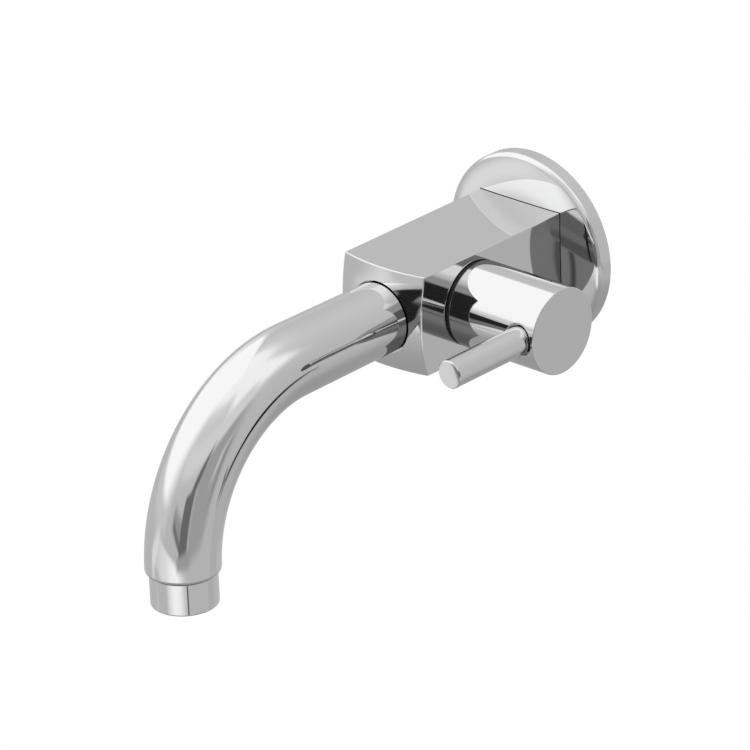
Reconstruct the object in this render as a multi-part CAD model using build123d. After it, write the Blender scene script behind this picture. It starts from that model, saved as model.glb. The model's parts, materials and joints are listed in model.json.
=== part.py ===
from build123d import *
import math
import os

# Wall-mounted single-supply sink tap, in millimetres.
# The origin is the centre of the flange's wall face. +Z is up, -Y points away from the wall
# towards the user, and +X is the handle's side.

# Fits and gaps shared by mating pieces, radial unless the name says otherwise
running_fit = 0.08
thread_fit = 0.05
plug_fit = 0.02
seal_fit = 0.02
disc_fit = 0.10
face_gap = 0.05
lapped_gap = 0.02
cut_overrun = 1.0
match_tolerance = 0.001

# A quarter turn in degrees, which the handle makes and the spout bends through
quarter_turn = 90.0

# Body block, square in section, with a front face that is part of a ball
body_side = 38.0
body_length = 73.4
dome_radius = 79.0
edge_round = 0.4

# Wall flange, a turned cup whose hollow side holds a foam gasket
flange_diameter = 72.0
flange_thickness = 7.0
flange_round = 1.2
flange_back_chamfer = 0.4
flange_rim_width = 3.0
flange_face_wall = 2.2
flange_boss_diameter = 30.0
flange_hole_clearance = 0.5
gasket_clearance = 0.3
gasket_recess = 0.2
flange_ring_width = 2.0

# Inlet nipple, a G 1/2 threaded tail with a broached hexagon at the wall end
thread_diameter = 20.955
nipple_projection = 18.0
nipple_bore_diameter = 11.8
nipple_relief_diameter = 18.8
relief_inset = 1.0
thread_chamfer = 0.8
hex_key_size = 12.0
hex_key_depth = 10.0

# Inlet socket in the body's back, with its washer and strainer
inlet_socket_depth = 14.0
inlet_washer_thickness = 1.5
inlet_washer_bore = 17.4
strainer_sheet = 0.4
strainer_cup_diameter = 10.4
strainer_cup_length = 12.0
well_diameter = 17.0
well_depth = 6.0

# Valve chamber, set back from the block's front corners, and the drilled waterways
valve_setback = 26.7
chamber_diameter = 23.0
drill_diameter = 7.0
drill_side_wall = 2.6
drill_start_offset = 6.5
seat_bore_diameter = 12.0
outlet_passage_diameter = 10.0

# Headwork, the quarter-turn ceramic valve that screws into the body's side
headwork_thread_length = 9.0
cage_length = 15.2
cage_wall = 1.5
cage_floor_gap = 0.3
collar_diameter = 26.0
collar_thickness = 2.0
headwork_hex_size = 21.0
headwork_hex_length = 6.0
neck_diameter = 16.0
neck_length = 4.0
hex_corner_trim = 0.5
headwork_ring_depth = 1.6
headwork_ring_outer_diameter = 24.4

# Ceramic discs and their seat washer
disc_diameter = 15.0
fixed_disc_thickness = 2.5
moving_disc_thickness = 2.5
port_inner_radius = 2.2
port_outer_radius = 6.0
port_angle = 76.0
seat_washer_thickness = 2.2
seat_washer_lip = 0.2
disc_ear_width = 3.0
disc_ear_reach = 1.1
disc_slot_width = 2.4
disc_slot_depth = 1.1
disc_slot_inner_radius = 2.8
disc_slot_outer_radius = 6.8

# Spindle, its stops and seals
stop_lug_angle = 28.0
stop_play_angle = 1.0
stop_lug_height = 1.0
foot_height = 4.0
foot_plate_thickness = 1.5
slip_washer_thickness = 0.5
spindle_diameter = 10.0
spindle_ring_width = 2.0
spindle_ring_depth = 1.2
spindle_ring_start = 6.0
spindle_ring_pitch = 5.0
circlip_thickness = 0.8
circlip_groove_depth = 0.9
circlip_reach = 1.5
circlip_opening_angle = 70.0
circlip_ear_radius = 1.1
spline_teeth = 20
spline_diameter = 8.0
spline_tooth_height = 0.45
spline_length = 9.0
spline_neck_length = 1.1
spline_tip_share = 0.22
spline_root_share = 0.76
spline_play_share = 0.04
window_angle = 100.0
window_length = 5.0
window_top_inset = 0.9

# Handle, a plain round barrel that hides the headwork, with its lever
handle_diameter = 32.0
handle_length = 39.3
handle_gap = 1.0
handle_edge_round = 0.3
handle_wall = 2.5
handle_solid_end = 15.3
handle_boss_diameter = 18.0
handle_boss_clearance = 0.6
socket_end_gap = 0.6
lever_diameter = 10.4
lever_reach = 51.7
lever_end_wall = 1.8
lever_tip_chamfer = 0.35
lever_seat_depth = 3.0
lever_seat_clearance = 0.35
lever_mouth_round = 0.6
lever_spigot_diameter = 6.0
lever_spigot_length = 7.0
glide_ring_diameter = 30.8
glide_ring_clearance = 0.2

# Grub screws
grub_diameter = 5.0
grub_key_size = 2.5
grub_key_depth = 2.5
grub_cone_height = 1.6
handle_grub_length = 8.0
spout_grub_length = 8.0
grub_tip_gap = 0.1

# Spout, a brass tube that swells a little along its straight run, then bends a quarter turn
spout_root_diameter = 26.4
spout_bend_diameter = 27.0
spout_bore_diameter = 21.8
spout_reach = 187.9
spout_bend_radius = 58.0
spout_drop = 1.0
spout_shoulder_round = 1.5
spout_seat_depth = 3.6
spout_seat_clearance = 0.5
spout_edge_round = 0.3

# Spigot that plugs the spout into the body
spigot_diameter = 18.0
spigot_length = 13.7
spigot_bore_diameter = 12.0
spigot_tail_length = 10.0
spigot_end_gap = 0.3
spout_ring_width = 2.2
spout_ring_depth = 1.4
spout_ring_inset = 1.2
spout_ring_pitch = 3.2
spigot_groove_depth = 1.3
spigot_groove_inset = 9.6
end_chamfer = 0.4

# Nozzle and aerator
neck_thread_diameter = 22.0
nozzle_head_diameter = 23.2
nozzle_head_length = 5.0
nozzle_neck_length = 5.5
nozzle_bore_diameter = 18.6
aerator_diameter = 24.2
aerator_length = 12.2
aerator_top_chamfer = 0.25
aerator_foot_round = 0.6
aerator_lip_bore_diameter = 20.0
aerator_washer_thickness = 1.5
insert_flange_thickness = 1.2
insert_wall = 0.9
insert_recess = 0.4
insert_fit = 0.1
insert_top_clearance = 0.3
insert_top_length = 5.0
comb_pitch = 2.55
comb_web = 0.45
comb_rings = 3
comb_thickness = 3.0
screen_sheet = 0.4
screen_cone_rise = 1.6

# Places that follow from the sizes above
flange_face_y = -flange_thickness
corner_y = flange_face_y - body_length
half_side = body_side / 2
dome_rise = dome_radius - math.sqrt(dome_radius**2 - 2 * half_side**2)
dome_front_y = corner_y - dome_rise
valve_y = corner_y + valve_setback

thread_radius = thread_diameter / 2
socket_floor_y = flange_face_y - inlet_socket_depth
washer_top_y = socket_floor_y + inlet_washer_thickness
strainer_top_y = washer_top_y + face_gap + strainer_sheet
nipple_front_y = strainer_top_y + face_gap

cage_end_x = half_side - headwork_thread_length - cage_length
chamber_floor_x = cage_end_x - cage_floor_gap
cage_bore_radius = disc_diameter / 2 + disc_fit
cage_radius = cage_bore_radius + cage_wall
fixed_bottom_x = chamber_floor_x + seat_washer_thickness
fixed_top_x = fixed_bottom_x + fixed_disc_thickness
moving_bottom_x = fixed_top_x + lapped_gap
moving_top_x = moving_bottom_x + moving_disc_thickness
foot_bottom_x = moving_top_x + face_gap
foot_top_x = foot_bottom_x + foot_height
roof_x = foot_top_x + slip_washer_thickness + 2 * face_gap
collar_top_x = half_side + collar_thickness
hex_top_x = collar_top_x + headwork_hex_length
neck_top_x = hex_top_x + neck_length
circlip_bottom_x = neck_top_x + face_gap
circlip_top_x = circlip_bottom_x + circlip_thickness
spline_start_x = circlip_top_x + face_gap + spline_neck_length
spindle_end_x = spline_start_x + spline_length
stop_lobe_angle = 180 - quarter_turn - stop_lug_angle - 2 * stop_play_angle
stop_lug_place = 90.0
lobe_place = stop_lug_place + stop_lug_angle / 2 + stop_play_angle + stop_lobe_angle / 2
port_place = lobe_place + quarter_turn

spindle_radius = spindle_diameter / 2
spindle_bore_radius = spindle_radius + running_fit
handle_radius = handle_diameter / 2
handle_start_x = half_side + handle_gap
handle_end_x = handle_start_x + handle_length
handle_cavity_end_x = handle_end_x - handle_solid_end
handle_boss_x = circlip_top_x + handle_boss_clearance
lever_x = handle_end_x - lever_end_wall - lever_diameter / 2
grub_x = (spline_start_x + spindle_end_x) / 2
grub_point_radius = grub_diameter / 2 - grub_cone_height
grub_hole_radius = grub_diameter / 2 + thread_fit

spout_seat_y = dome_front_y + spout_seat_depth
spigot_end_y = spout_seat_y + spigot_length
spout_socket_floor_y = spigot_end_y + spigot_end_gap
spigot_groove_y = spigot_end_y - spigot_groove_inset
spout_root_y = spout_seat_y - face_gap
outlet_y = -spout_reach
bend_start_y = outlet_y + spout_bend_radius
spout_end_z = -(spout_bend_radius + spout_drop)

neck_end_z = spout_end_z - nozzle_neck_length
shell_top_z = spout_end_z - face_gap
shell_end_z = shell_top_z - aerator_length
aerator_washer_top_z = neck_end_z - face_gap
aerator_washer_bottom_z = aerator_washer_top_z - aerator_washer_thickness
insert_flange_top_z = aerator_washer_bottom_z - face_gap
insert_flange_bottom_z = insert_flange_top_z - insert_flange_thickness
lip_top_z = insert_flange_bottom_z - face_gap
insert_foot_z = shell_end_z + insert_recess
insert_top_z = insert_flange_top_z + insert_top_length

ALONG_X = Pos(0, valve_y, 0) * Rot(0, 90, 0)
ALONG_Y = Rot(-90, 0, 0)
ALONG_Z = Pos(0, outlet_y, 0)


def turned(points):
    """A closed outline of (station, radius) points, spun about +Z, with stations along it."""
    outline = Polyline([(radius, station) for station, radius in points], close=True)
    return revolve(Plane.XZ * make_face(outline), Axis.Z)


def ring(low, high, inner_radius, outer_radius):
    """A plain ring about +Z from one station to another."""
    return turned([(low, inner_radius), (low, outer_radius), (high, outer_radius), (high, inner_radius)])


def rod(low, high, radius):
    """A plain rod about +Z from one station to another."""
    return turned([(low, 0), (low, radius), (high, radius), (high, 0)])


def squeezed_ring(middle, width, inner_radius, outer_radius):
    """A rubber O-ring as it sits in its groove, its round section pressed flat inside and outside."""
    half_width = width / 2
    corner = (outer_radius - inner_radius) / 3
    low, high = middle - half_width, middle + half_width
    inner, outer = inner_radius + seal_fit, outer_radius - seal_fit
    return turned(
        [
            (low + corner, inner),
            (low, inner + corner),
            (low, outer - corner),
            (low + corner, outer),
            (high - corner, outer),
            (high, outer - corner),
            (high, inner + corner),
            (high - corner, inner),
        ]
    )


def circles_at(solid, axis_name, station, radius):
    """The solid's circular edges of one radius whose centre lies at one station."""
    found = []
    for edge in solid.edges().filter_by(GeomType.CIRCLE):
        off_station = abs(getattr(edge.arc_center, axis_name) - station)
        if off_station < match_tolerance and abs(edge.radius - radius) < match_tolerance:
            found.append(edge)
    return found


def saddle_edges(solid):
    """The edges that are neither straight nor round, where a cross hole leaves a barrel."""
    bent = solid.edges().filter_by(GeomType.CIRCLE, reverse=True)
    return bent.filter_by(GeomType.LINE, reverse=True)


def drilled(start, end, radius, overrun):
    """A straight drilled hole between two points, run on past its far end."""
    direction = Vector(*end) - Vector(*start)
    plane = Plane(origin=start, z_dir=direction)
    return extrude(plane * Circle(radius), amount=direction.length + overrun)


def valve_plane(x):
    """A plane across the valve's axis, with its own X away from the wall and its own Y up."""
    return Plane(origin=(x, valve_y, 0), x_dir=(0, -1, 0), z_dir=(-1, 0, 0))


def valve_slab(sketch, low_x, high_x):
    """A sketch in the valve plane given thickness between two stations."""
    return extrude(valve_plane(high_x) * sketch, amount=high_x - low_x)


def sector(inner_radius, outer_radius, width_angle, place_angle):
    """A piece of a ring, less than 120 degrees wide, turned to its place."""
    reach = 2 * outer_radius
    half_angle = math.radians(width_angle / 2)
    low = (reach * math.cos(half_angle), -reach * math.sin(half_angle))
    high = (reach * math.cos(half_angle), reach * math.sin(half_angle))
    wedge = make_face(Polyline([(0, 0), low, high], close=True))
    whole = Circle(outer_radius)
    if inner_radius > 0:
        whole = whole - Circle(inner_radius)
    return Rot(0, 0, place_angle) * (whole & wedge)


def sector_pair(inner_radius, outer_radius, width_angle, place_angle):
    """Two such pieces, opposite each other."""
    first = sector(inner_radius, outer_radius, width_angle, place_angle)
    return first + Rot(0, 0, 180) * first


def grub_screw(length):
    """A socket set screw along +Z, its cone point at the origin."""
    radius = grub_diameter / 2
    cone = [(0, 0), (0, grub_point_radius), (grub_cone_height, radius)]
    screw = turned(cone + [(length, radius), (length, 0)])
    key = RegularPolygon(grub_key_size / 2, 6, major_radius=False)
    return screw - Pos(0, 0, length - grub_key_depth) * extrude(key, amount=grub_key_depth + cut_overrun)


# Wall flange and what seals it


def wall_flange():
    radius = flange_diameter / 2
    cup_floor_y = flange_face_y + flange_face_wall
    boss_radius = flange_boss_diameter / 2
    hole_radius = thread_radius + flange_hole_clearance
    cup = turned(
        [
            (flange_face_y, hole_radius),
            (flange_face_y, radius),
            (0, radius),
            (0, radius - flange_rim_width),
            (cup_floor_y, radius - flange_rim_width),
            (cup_floor_y, boss_radius),
            (-gasket_recess, boss_radius),
            (-gasket_recess, hole_radius),
        ]
    )
    cup = fillet(circles_at(cup, "Z", flange_face_y, radius), flange_round)
    return ALONG_Y * chamfer(circles_at(cup, "Z", 0, radius), flange_back_chamfer)


def flange_gasket():
    inner = flange_boss_diameter / 2 + gasket_clearance
    outer = flange_diameter / 2 - flange_rim_width - gasket_clearance
    return ALONG_Y * ring(flange_face_y + flange_face_wall, -gasket_recess, inner, outer)


def flange_ring():
    inner = nipple_relief_diameter / 2
    outer = thread_radius + flange_hole_clearance
    return ALONG_Y * squeezed_ring(flange_face_y / 2, flange_ring_width, inner, outer)


# Inlet


def inlet_nipple():
    relief_radius = nipple_relief_diameter / 2
    bore_radius = nipple_bore_diameter / 2
    relief_low_y = flange_face_y - relief_inset
    step = thread_radius - relief_radius
    nipple = turned(
        [
            (nipple_front_y, bore_radius),
            (nipple_front_y, thread_radius - thread_chamfer),
            (nipple_front_y + thread_chamfer, thread_radius),
            (relief_low_y - step, thread_radius),
            (relief_low_y, relief_radius),
            (-step, relief_radius),
            (0, thread_radius),
            (nipple_projection - thread_chamfer, thread_radius),
            (nipple_projection, thread_radius - thread_chamfer),
            (nipple_projection, bore_radius),
        ]
    )
    key = RegularPolygon(hex_key_size / 2, 6, major_radius=False)
    broach = Pos(0, 0, nipple_projection - hex_key_depth) * extrude(key, amount=hex_key_depth + cut_overrun)
    return ALONG_Y * (nipple - broach)


def inlet_washer():
    outer = thread_radius - plug_fit
    return ALONG_Y * ring(socket_floor_y, washer_top_y, inlet_washer_bore / 2, outer)


def inlet_strainer():
    cup_radius = strainer_cup_diameter / 2
    low = washer_top_y + face_gap
    flange_radius = thread_radius - thread_chamfer
    cup_top = strainer_top_y + strainer_cup_length
    return ALONG_Y * turned(
        [
            (low, cup_radius - strainer_sheet),
            (low, flange_radius),
            (strainer_top_y, flange_radius),
            (strainer_top_y, cup_radius),
            (cup_top, cup_radius),
            (cup_top, 0),
            (cup_top - strainer_sheet, 0),
            (cup_top - strainer_sheet, cup_radius - strainer_sheet),
        ]
    )


# Body


def body_block():
    block_length = body_length + dome_rise
    block = Pos(0, (flange_face_y + dome_front_y) / 2, 0) * Box(body_side, block_length, body_side)
    block = block & Pos(0, dome_front_y + dome_radius, 0) * Sphere(dome_radius)
    return fillet(block.edges(), edge_round)


def inlet_waterway():
    socket_radius = thread_radius + thread_fit
    well_floor_y = socket_floor_y - well_depth
    drill_radius = drill_diameter / 2
    drill_end_x = -(half_side - drill_side_wall - drill_radius)
    way = ALONG_Y * rod(socket_floor_y, flange_face_y + cut_overrun, socket_radius)
    way += ALONG_Y * rod(well_floor_y, socket_floor_y + cut_overrun, well_diameter / 2)
    drill_start = (-drill_start_offset, well_floor_y + drill_radius, 0)
    way += drilled(drill_start, (drill_end_x, valve_y, 0), drill_radius, drill_radius)
    way += ALONG_X * rod(drill_end_x, chamber_floor_x + cut_overrun, seat_bore_diameter / 2)
    return way


def valve_chamber():
    chamber_top_x = half_side - headwork_thread_length
    chamber = ALONG_X * rod(chamber_floor_x, chamber_top_x, chamber_diameter / 2)
    chamber += ALONG_X * rod(chamber_floor_x, half_side + cut_overrun, thread_radius + thread_fit)
    ring_seat_x = half_side - headwork_ring_depth
    chamber += ALONG_X * rod(ring_seat_x, half_side + cut_overrun, headwork_ring_outer_diameter / 2)
    return chamber


def spout_socket():
    seat_radius = spout_root_diameter / 2 + spout_seat_clearance
    socket = ALONG_Y * rod(dome_front_y - cut_overrun, spout_seat_y, seat_radius)
    bore_radius = spigot_diameter / 2 + thread_fit
    socket += ALONG_Y * rod(spout_seat_y - cut_overrun, spout_socket_floor_y, bore_radius)
    passage_end_y = valve_y - chamber_diameter / 4
    socket += ALONG_Y * rod(spout_socket_floor_y - cut_overrun, passage_end_y, outlet_passage_diameter / 2)
    grub_hole = extrude(Circle(grub_hole_radius), amount=half_side + cut_overrun)
    return socket + Pos(0, spigot_groove_y, 0) * Rot(180, 0, 0) * grub_hole


def valve_body():
    return body_block() - inlet_waterway() - valve_chamber() - spout_socket()


# Headwork


def headwork_body():
    chamber_top_x = half_side - headwork_thread_length
    neck_radius = neck_diameter / 2
    outline = [
        (cage_end_x, cage_bore_radius),
        (cage_end_x, cage_radius),
        (chamber_top_x - thread_chamfer, cage_radius),
        (chamber_top_x, thread_radius),
        (half_side, thread_radius),
        (half_side, collar_diameter / 2),
        (collar_top_x, collar_diameter / 2),
        (collar_top_x, neck_radius),
        (neck_top_x - end_chamfer, neck_radius),
        (neck_top_x, neck_radius - end_chamfer),
        (neck_top_x, spindle_bore_radius),
        (roof_x, spindle_bore_radius),
        (roof_x, cage_bore_radius),
    ]
    body = ALONG_X * turned(outline)
    body += spanner_hexagon()
    windows = sector_pair(0, cage_radius + cut_overrun, window_angle, 0)
    windows -= Circle(cage_bore_radius - cut_overrun)
    window_top_x = foot_top_x - window_top_inset
    body -= valve_slab(windows, window_top_x - window_length, window_top_x)
    ear_slot = Rectangle(2 * (cage_radius + cut_overrun), disc_ear_width + 2 * disc_fit)
    ear_slot = Rot(0, 0, stop_lug_place) * ear_slot - Circle(cage_bore_radius - disc_fit)
    body -= valve_slab(ear_slot, cage_end_x - cut_overrun, fixed_top_x + face_gap)
    lug_inner = cage_bore_radius - stop_lug_height
    lugs = sector_pair(lug_inner, cage_bore_radius + cage_wall / 2, stop_lug_angle, stop_lug_place)
    body += valve_slab(lugs, foot_bottom_x + foot_plate_thickness / 2, foot_top_x)
    return body


def spanner_hexagon():
    """The hexagon a spanner turns, its six corners trimmed by a cone at the neck end."""
    flat = RegularPolygon(headwork_hex_size / 2, 6, major_radius=False)
    corner_radius = headwork_hex_size / math.sqrt(3)
    hexagon = valve_slab(flat - Circle(spindle_bore_radius), collar_top_x, hex_top_x)
    trim = ALONG_X * turned(
        [
            (collar_top_x, 0),
            (collar_top_x, corner_radius),
            (hex_top_x - hex_corner_trim, corner_radius),
            (hex_top_x, corner_radius - 2 * hex_corner_trim),
            (hex_top_x, 0),
        ]
    )
    return hexagon & trim


def headwork_ring():
    low = half_side - headwork_ring_depth
    outer = headwork_ring_outer_diameter / 2
    middle = (low + half_side) / 2
    width = headwork_ring_depth - 2 * seal_fit
    return ALONG_X * squeezed_ring(middle, width, thread_radius, outer)


def seat_washer():
    inner = port_outer_radius + seat_washer_lip
    return ALONG_X * ring(chamber_floor_x, fixed_bottom_x, inner, disc_diameter / 2)


def fixed_disc():
    disc = Circle(disc_diameter / 2)
    ears = Rectangle(disc_diameter + 2 * disc_ear_reach, disc_ear_width)
    disc += Rot(0, 0, stop_lug_place) * ears
    disc -= sector_pair(port_inner_radius, port_outer_radius, port_angle, port_place)
    return valve_slab(disc, fixed_bottom_x, fixed_top_x)


def moving_disc():
    disc = Circle(disc_diameter / 2)
    disc -= sector_pair(port_inner_radius, port_outer_radius, port_angle, port_place)
    solid = valve_slab(disc, moving_bottom_x, moving_top_x)
    slots = drive_bars(disc_slot_inner_radius, disc_slot_outer_radius, disc_slot_width)
    return solid - valve_slab(slots, moving_top_x - disc_slot_depth, moving_top_x + cut_overrun)


def drive_bars(inner_radius, outer_radius, width):
    """The two short bars by which the spindle turns the moving disc."""
    middle = (inner_radius + outer_radius) / 2
    bar = Pos(middle, 0) * Rectangle(outer_radius - inner_radius, width)
    return Rot(0, 0, lobe_place) * (bar + Rot(0, 0, 180) * bar)


# Spindle and what turns with it


def spline_outline(radius_offset, play_share):
    """A toothed wheel outline. The handle's socket is the same outline, opened by its fit."""
    tip_radius = spline_diameter / 2 + radius_offset
    root_radius = tip_radius - spline_tooth_height
    tip_share = spline_tip_share + play_share
    root_share = spline_root_share + play_share
    half_pitch = math.pi / spline_teeth
    rising = [(root_radius, -root_share), (tip_radius, -tip_share)]
    falling = [(tip_radius, tip_share), (root_radius, root_share)]
    points = []
    for tooth in range(spline_teeth):
        middle = 2 * tooth * half_pitch
        points += [(radius, middle + share * half_pitch) for radius, share in rising + falling]
    corners = [(radius * math.cos(angle), radius * math.sin(angle)) for radius, angle in points]
    return make_face(Polyline(corners, close=True))


def spindle():
    groove_radius = spindle_radius - spindle_ring_depth
    clip_radius = spindle_radius - circlip_groove_depth
    outline = [(foot_top_x, 0), (foot_top_x, spindle_radius)]
    for start in ring_starts():
        outline += [
            (start, spindle_radius),
            (start, groove_radius),
            (start + spindle_ring_width, groove_radius),
            (start + spindle_ring_width, spindle_radius),
        ]
    outline += [
        (circlip_bottom_x, spindle_radius),
        (circlip_bottom_x, clip_radius),
        (circlip_top_x + face_gap, clip_radius),
        (circlip_top_x + face_gap, spline_diameter / 2 - spline_tooth_height),
        (spline_start_x, spline_diameter / 2 - spline_tooth_height),
        (spline_start_x, 0),
    ]
    body = ALONG_X * turned(outline)
    body += valve_slab(spline_outline(0, 0), spline_start_x, spindle_end_x)
    plate_radius = cage_bore_radius - stop_lug_height - 3 * running_fit
    body += ALONG_X * rod(foot_top_x - foot_plate_thickness, foot_top_x, plate_radius)
    lobe_radius = disc_diameter / 2 - disc_fit
    lobes = sector_pair(0, lobe_radius, stop_lobe_angle, lobe_place)
    hub = Circle(port_inner_radius - disc_fit)
    body += valve_slab(lobes + hub, foot_bottom_x, foot_top_x)
    inner = disc_slot_inner_radius + disc_fit
    outer = disc_slot_outer_radius - disc_fit
    bars = drive_bars(inner, outer, disc_slot_width - 2 * disc_fit)
    bar_end_x = moving_top_x - disc_slot_depth + disc_fit
    return body + valve_slab(bars, bar_end_x, foot_bottom_x + foot_plate_thickness)


def ring_starts():
    first = roof_x + spindle_ring_start
    return [first, first + spindle_ring_pitch]


def spindle_rings():
    inner = spindle_radius - spindle_ring_depth
    width = spindle_ring_width - 2 * seal_fit
    rings = []
    for start in ring_starts():
        middle = start + spindle_ring_width / 2
        rings.append(ALONG_X * squeezed_ring(middle, width, inner, spindle_bore_radius))
    return rings[0] + rings[1]


def slip_washer():
    low = foot_top_x + face_gap
    outer = cage_bore_radius - stop_lug_height - 3 * running_fit
    return ALONG_X * ring(low, low + slip_washer_thickness, spindle_radius + plug_fit, outer)


def circlip():
    inner = spindle_radius - circlip_groove_depth + plug_fit
    outer = spindle_radius + circlip_reach
    flat = Circle(outer) - Circle(inner)
    flat -= sector(0, outer + cut_overrun, circlip_opening_angle, 0)
    ear_angle = circlip_opening_angle / 2 + math.degrees(circlip_ear_radius / outer)
    for side in (-1, 1):
        ear = Pos(outer, 0) * Circle(circlip_ear_radius)
        eye = Pos(outer, 0) * Circle(circlip_ear_radius / 2)
        flat = flat + Rot(0, 0, side * ear_angle) * ear - Rot(0, 0, side * ear_angle) * eye
    return valve_slab(flat, circlip_bottom_x + lapped_gap, circlip_top_x)


def glide_ring():
    high = handle_start_x - glide_ring_clearance
    inner = collar_diameter / 2 + glide_ring_clearance
    return ALONG_X * ring(half_side, high, inner, glide_ring_diameter / 2)


# Handle


def handle():
    cavity_radius = handle_radius - handle_wall
    barrel = rod(handle_start_x, handle_end_x, handle_radius)
    rims = circles_at(barrel, "Z", handle_start_x, handle_radius)
    rims += circles_at(barrel, "Z", handle_end_x, handle_radius)
    barrel = ALONG_X * fillet(rims, handle_edge_round)
    seat_radius = handle_radius - lever_seat_depth
    seat_bore_radius = lever_diameter / 2 + lever_seat_clearance
    barrel -= lever_place() * rod(seat_radius, handle_radius + cut_overrun, seat_bore_radius)
    barrel = fillet(saddle_edges(barrel), lever_mouth_round)
    barrel -= ALONG_X * rod(handle_start_x - cut_overrun, handle_cavity_end_x, cavity_radius)
    barrel += ALONG_X * rod(handle_boss_x, handle_cavity_end_x + cut_overrun, handle_boss_diameter / 2)
    socket = spline_outline(plug_fit, spline_play_share)
    barrel -= valve_slab(socket, handle_boss_x - cut_overrun, spindle_end_x + socket_end_gap)
    spigot_end = seat_radius - lever_spigot_length - face_gap
    barrel -= lever_place() * rod(spigot_end, handle_radius, lever_spigot_diameter / 2 + thread_fit)
    screw_way = rod(spline_diameter / 2 - spline_tooth_height, handle_radius + cut_overrun, grub_hole_radius)
    return barrel - grub_place() * screw_way


def lever_place():
    """Where the lever's own +Z, away from the handle's axis, lies in the tap."""
    return Pos(lever_x, valve_y, 0) * Rot(90, 0, 0)


def grub_place():
    """The handle's grub screw, underneath while the lever points forward."""
    return Pos(grub_x, valve_y, 0) * Rot(180, 0, 0)


def lever_pin():
    radius = lever_diameter / 2
    spigot_radius = lever_spigot_diameter / 2
    seat = handle_radius - lever_seat_depth + face_gap
    spigot_end = handle_radius - lever_seat_depth - lever_spigot_length
    return lever_place() * turned(
        [
            (spigot_end, 0),
            (spigot_end, spigot_radius - end_chamfer),
            (spigot_end + end_chamfer, spigot_radius),
            (seat, spigot_radius),
            (seat, radius),
            (lever_reach - lever_tip_chamfer, radius),
            (lever_reach, radius - lever_tip_chamfer),
            (lever_reach, 0),
        ]
    )


def handle_grub_screw():
    tip = spline_diameter / 2 + grub_tip_gap
    return grub_place() * Pos(0, 0, tip) * grub_screw(handle_grub_length)


# Spout


def spout_run(radius):
    """A round rod along the spout's quarter bend, running on past its lower end."""
    bend_plane = Plane(origin=(0, bend_start_y, 0), z_dir=(0, -1, 0))
    bend_axis = Axis((0, bend_start_y, -spout_bend_radius), (1, 0, 0))
    bend = revolve(bend_plane * Circle(radius), bend_axis, quarter_turn)
    return bend + ALONG_Z * rod(spout_end_z - cut_overrun, -spout_bend_radius, radius)


def spout_tube():
    root_radius = spout_root_diameter / 2
    bend_radius = spout_bend_diameter / 2
    bore_radius = spout_bore_diameter / 2
    straight = [(spout_root_y, 0), (spout_root_y, root_radius), (bend_start_y, bend_radius)]
    tube = spout_run(bend_radius) + ALONG_Y * turned(straight + [(bend_start_y, 0)])
    tube -= ALONG_Z * rod(spout_end_z - 2 * cut_overrun, spout_end_z, bend_radius + cut_overrun)
    tube = fillet(circles_at(tube, "Z", spout_end_z, bend_radius), spout_shoulder_round)
    tube = fillet(circles_at(tube, "Y", spout_root_y, root_radius), spout_edge_round)
    tube -= spout_run(bore_radius)
    tube -= ALONG_Y * rod(bend_start_y, spout_root_y + cut_overrun, bore_radius)
    pocket_top_z = spout_end_z + nozzle_head_length
    pocket = rod(spout_end_z - cut_overrun, pocket_top_z, nozzle_head_diameter / 2 + plug_fit)
    return tube - ALONG_Z * pocket


def spout_ring_starts():
    first = spigot_end_y - spout_ring_inset - spout_ring_width
    return [first, first - spout_ring_pitch]


def spout_spigot():
    radius = spigot_diameter / 2
    tail_radius = spout_bore_diameter / 2 - plug_fit
    tail_end_y = spout_seat_y - spigot_tail_length
    bore_radius = spigot_bore_diameter / 2
    ring_radius = radius - spout_ring_depth
    groove_radius = radius - spigot_groove_depth
    groove_half_floor = grub_point_radius + grub_tip_gap
    groove_floor_y = (spigot_groove_y - groove_half_floor, spigot_groove_y + groove_half_floor)
    outline = [
        (tail_end_y, bore_radius),
        (tail_end_y, tail_radius - end_chamfer),
        (tail_end_y + end_chamfer, tail_radius),
        (spout_seat_y - face_gap, tail_radius),
        (spout_seat_y - face_gap, radius),
        (groove_floor_y[0] - spigot_groove_depth, radius),
        (groove_floor_y[0], groove_radius),
        (groove_floor_y[1], groove_radius),
        (groove_floor_y[1] + spigot_groove_depth, radius),
    ]
    for start in reversed(spout_ring_starts()):
        outline += [
            (start, radius),
            (start, ring_radius),
            (start + spout_ring_width, ring_radius),
            (start + spout_ring_width, radius),
        ]
    outline += [
        (spigot_end_y - end_chamfer, radius),
        (spigot_end_y, radius - end_chamfer),
        (spigot_end_y, bore_radius),
    ]
    return ALONG_Y * turned(outline)


def spout_rings():
    inner = spigot_diameter / 2 - spout_ring_depth
    outer = spigot_diameter / 2 + thread_fit
    width = spout_ring_width - 2 * seal_fit
    rings = []
    for start in spout_ring_starts():
        rings.append(ALONG_Y * squeezed_ring(start + spout_ring_width / 2, width, inner, outer))
    return rings[0] + rings[1]


def spout_grub_screw():
    tip = spigot_diameter / 2 - spigot_groove_depth + grub_tip_gap
    place = Pos(0, spigot_groove_y, 0) * Rot(180, 0, 0) * Pos(0, 0, tip)
    return place * grub_screw(spout_grub_length)


# Nozzle and aerator


def nozzle_neck():
    neck_radius = neck_thread_diameter / 2
    bore_radius = nozzle_bore_diameter / 2
    head_radius = nozzle_head_diameter / 2
    head_top_z = spout_end_z + nozzle_head_length - face_gap
    return ALONG_Z * turned(
        [
            (neck_end_z, bore_radius),
            (neck_end_z, neck_radius - end_chamfer),
            (neck_end_z + end_chamfer, neck_radius),
            (spout_end_z, neck_radius),
            (spout_end_z, head_radius),
            (head_top_z, head_radius),
            (head_top_z, bore_radius),
        ]
    )


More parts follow.
